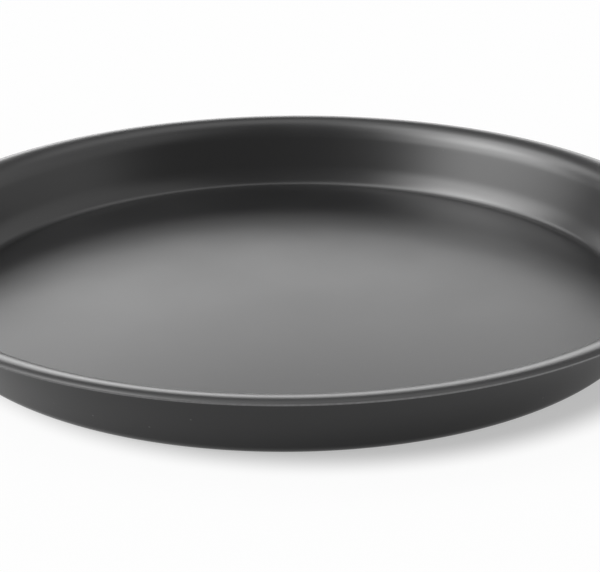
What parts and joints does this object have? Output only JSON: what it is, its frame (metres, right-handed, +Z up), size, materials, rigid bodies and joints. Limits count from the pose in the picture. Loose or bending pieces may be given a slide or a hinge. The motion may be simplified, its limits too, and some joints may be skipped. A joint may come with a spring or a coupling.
{
  "type": "pizza pan",
  "caption": "Shallow round pizza pan pressed from sheet steel, with a leaning wall, a broad rolled lip and a dark non-stick coating.",
  "frame": {"origin": "middle of the underside, on the face that the pan rests on", "axes": "+Z up along the axis of the round pan; X and Y lie in the plane of the base and are alike"},
  "size_m": [0.28, 0.28, 0.0257],
  "materials": {
    "bare_steel": "trimmed sheet edge, bare between the two films",
    "nonstick_film": "satin near-black baked film with a soft sheen",
    "outside_film": "satin near-black baked film, slightly duller than the inside"
  },
  "bodies": {
    "root": {"pressed_pan": "bare_steel", "inner_nonstick_coating": "nonstick_film", "outer_coating": "outside_film"}
  },
  "joints": []
}
